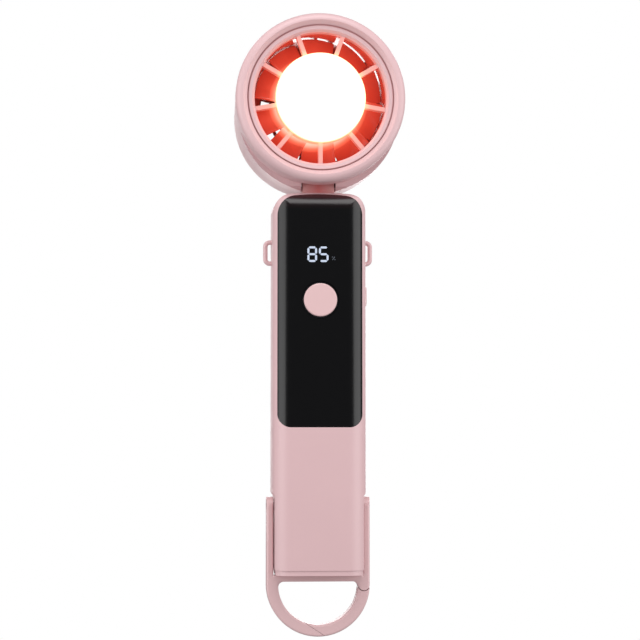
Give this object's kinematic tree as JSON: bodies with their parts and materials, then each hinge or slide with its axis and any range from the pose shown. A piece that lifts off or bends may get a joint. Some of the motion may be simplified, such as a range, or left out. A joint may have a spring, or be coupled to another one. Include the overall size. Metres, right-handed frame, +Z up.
{
  "type": "handheld fan",
  "caption": "Handheld battery fan with a tilting ducted round head, lit hub disc, black control panel, lanyard loops and a swinging ring bracket with a sprung gate.",
  "frame": {"origin": "lowest point of the bracket's ring, on the handle's vertical axis", "axes": "+Z up the handle, the fan blows toward -Y, +X is the right side seen from the front"},
  "size_m": [0.0636, 0.0444, 0.233],
  "materials": {
    "pink_shell": "satin",
    "black_gloss": "gloss",
    "red_duct": "gloss",
    "lamp_glow": "satin",
    "digit_glow": "satin",
    "led_chip": "satin",
    "circuit_board": "satin",
    "black_plastic": "satin",
    "cell_wrap": "satin",
    "steel": "brushed",
    "copper_wire": "enamelled",
    "magnet": "nickel"
  },
  "bodies": {
    "handle": {"handle_shell": "pink_shell", "front_panel": "black_gloss", "button_ring": "black_gloss", "display_digits": "digit_glow", "display_module": "black_plastic", "main_board": "circuit_board", "power_switch": "black_plastic", "side_board": "circuit_board", "side_switch": "black_plastic", "usb_board": "circuit_board", "usb_port": "steel", "battery_cell": "cell_wrap", "battery_cup_lower": "black_plastic", "battery_cup_upper": "black_plastic", "battery_tab_lower": "steel", "battery_tab_upper": "steel", "bottom_cap": "pink_shell", "cap_screws": "steel", "lanyard_loop_left": "pink_shell", "lanyard_loop_right": "pink_shell", "neck": "pink_shell", "neck_screws": "steel", "bracket_pin_left": "steel", "bracket_pin_right": "steel"},
    "head": {"head_shell": "pink_shell", "head_screws": "steel", "hinge_pin": "steel", "friction_washers": "black_plastic", "duct": "red_duct", "tail_cap": "red_duct", "motor_board": "circuit_board", "motor_bearings": "steel", "stator_core": "steel", "stator_coils": "copper_wire", "front_grille": "pink_shell", "lamp_lens": "lamp_glow", "lamp_board": "circuit_board", "lamp_leds": "led_chip", "lamp_cover": "black_plastic", "rear_grille": "red_duct"},
    "rotor": {"impeller": "red_duct", "rotor_cup": "steel", "magnet_ring": "magnet", "motor_shaft": "steel"},
    "power_button": {"power_button": "pink_shell"},
    "side_button": {"side_button": "pink_shell"},
    "bracket": {"bracket": "pink_shell", "gate_pin": "steel", "gate_spring": "steel"},
    "gate": {"gate": "pink_shell"}
  },
  "joints": [
    {"name": "head_tilt", "type": "hinge", "parent": "handle", "child": "head", "pos_m": [0, 0, 0.172], "axis": [1, 0, 0], "range_deg": [-10, 15]},
    {"name": "rotor_spin", "type": "hinge", "parent": "head", "child": "rotor", "pos_m": [0, 0, 0.2012], "axis": [0, 1, 0], "continuous": true},
    {"name": "power_press", "type": "slide", "parent": "handle", "child": "power_button", "axis": [0, 1, 0], "range_m": [0, 0.0006], "stiffness_N_per_m": 1500, "springref_m": -0.0004},
    {"name": "side_press", "type": "slide", "parent": "handle", "child": "side_button", "axis": [-1, 0, 0], "range_m": [0, 0.0006], "stiffness_N_per_m": 1500, "springref_m": -0.0004},
    {"name": "bracket_swing", "type": "hinge", "parent": "handle", "child": "bracket", "pos_m": [0, 0, 0.0487], "axis": [1, 0, 0], "range_deg": [0, 90]},
    {"name": "gate_swing", "type": "hinge", "parent": "bracket", "child": "gate", "pos_m": [0.0172, 0, 0.0194], "axis": [0, 1, 0], "range_deg": [0, 22], "stiffness_Nm_per_rad": 0.02, "springref_deg": -20.05}
  ]
}
